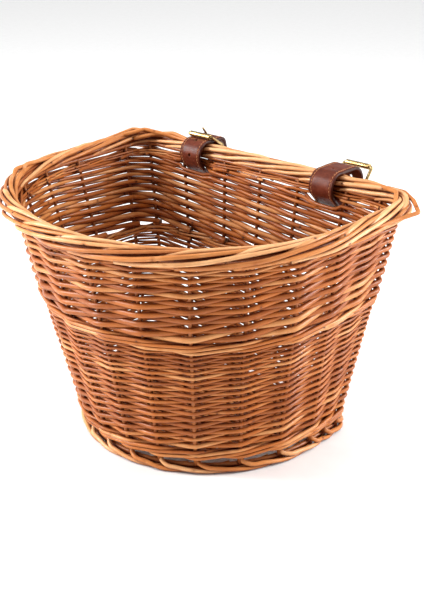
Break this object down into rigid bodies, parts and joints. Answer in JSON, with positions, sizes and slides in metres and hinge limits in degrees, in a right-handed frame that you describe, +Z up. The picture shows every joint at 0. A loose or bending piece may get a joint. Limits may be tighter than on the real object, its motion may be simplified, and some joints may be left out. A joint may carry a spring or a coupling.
{
  "type": "bicycle handlebar basket",
  "caption": "D-shaped woven willow basket with leather loop straps and roller buckles, which hangs from a bicycle's handlebar.",
  "frame": {"origin": "on the ground, under the middle of the whole object's bounding box", "axes": "+X along the flat back wall, +Y towards the handlebar side, +Z up"},
  "size_m": [0.368, 0.3347, 0.259],
  "materials": {
    "willow_sticks": "peeled buff willow, thin varnish, shaded red brown",
    "willow_weave": "peeled buff willow rods, satin varnish",
    "willow_wale": "peeled buff willow rods, satin varnish",
    "willow_border": "thick buff willow rods, glossy varnish",
    "strap_leather": "dark oxblood harness leather, smooth and lightly waxed",
    "strap_thread": "waxed tan thread",
    "buckle_brass": "polished brass-plated wire",
    "roller_brass": "polished brass tube",
    "prong_brass": "aged brass"
  },
  "bodies": {
    "basket": {"base_sticks": "willow_sticks", "base_weave": "willow_weave", "foot_border": "willow_border", "side_stakes": "willow_sticks", "bottom_wale": "willow_wale", "lower_weave": "willow_weave", "middle_wale": "willow_wale", "upper_weave": "willow_weave", "top_wale": "willow_wale", "rim_border": "willow_border"},
    "left_strap_loop": {"left_strap": "strap_leather", "left_strap_stitching": "strap_thread"},
    "left_buckle": {"left_buckle_frame": "buckle_brass"},
    "left_roller": {"left_buckle_roller": "roller_brass"},
    "left_prong": {"left_buckle_prong": "prong_brass"},
    "right_strap_loop": {"right_strap": "strap_leather", "right_strap_stitching": "strap_thread"},
    "right_buckle": {"right_buckle_frame": "buckle_brass"},
    "right_roller": {"right_buckle_roller": "roller_brass"},
    "right_prong": {"right_buckle_prong": "prong_brass"}
  },
  "joints": [
    {"name": "left_strap_swing", "type": "hinge", "parent": "basket", "child": "left_strap_loop", "pos_m": [-0.0915, 0.1166, 0.2335], "axis": [1, 0, 0], "range_deg": [-3, 3]},
    {"name": "left_buckle_tilt", "type": "hinge", "parent": "left_strap_loop", "child": "left_buckle", "pos_m": [-0.0915, 0.1369, 0.2404], "axis": [-1, 0, 0], "range_deg": [0, 5]},
    {"name": "left_roller_spin", "type": "hinge", "parent": "left_buckle", "child": "left_roller", "pos_m": [-0.0915, 0.11927, 0.25181], "axis": [1, 0, 0], "continuous": true},
    {"name": "left_prong_swing", "type": "hinge", "parent": "left_strap_loop", "child": "left_prong", "pos_m": [-0.0915, 0.1369, 0.2404], "axis": [-1, 0, 0], "range_deg": [-8, 7]},
    {"name": "right_strap_swing", "type": "hinge", "parent": "basket", "child": "right_strap_loop", "pos_m": [0.076, 0.1166, 0.2335], "axis": [1, 0, 0], "range_deg": [-3, 3]},
    {"name": "right_buckle_tilt", "type": "hinge", "parent": "right_strap_loop", "child": "right_buckle", "pos_m": [0.076, 0.1516, 0.2265], "axis": [-1, 0, 0], "range_deg": [-12, 113]},
    {"name": "right_roller_spin", "type": "hinge", "parent": "right_buckle", "child": "right_roller", "pos_m": [0.076, 0.16453, 0.24305], "axis": [1, 0, 0], "continuous": true},
    {"name": "right_prong_swing", "type": "hinge", "parent": "right_strap_loop", "child": "right_prong", "pos_m": [0.076, 0.1516, 0.2265], "axis": [-1, 0, 0], "range_deg": [-125, 0]}
  ]
}
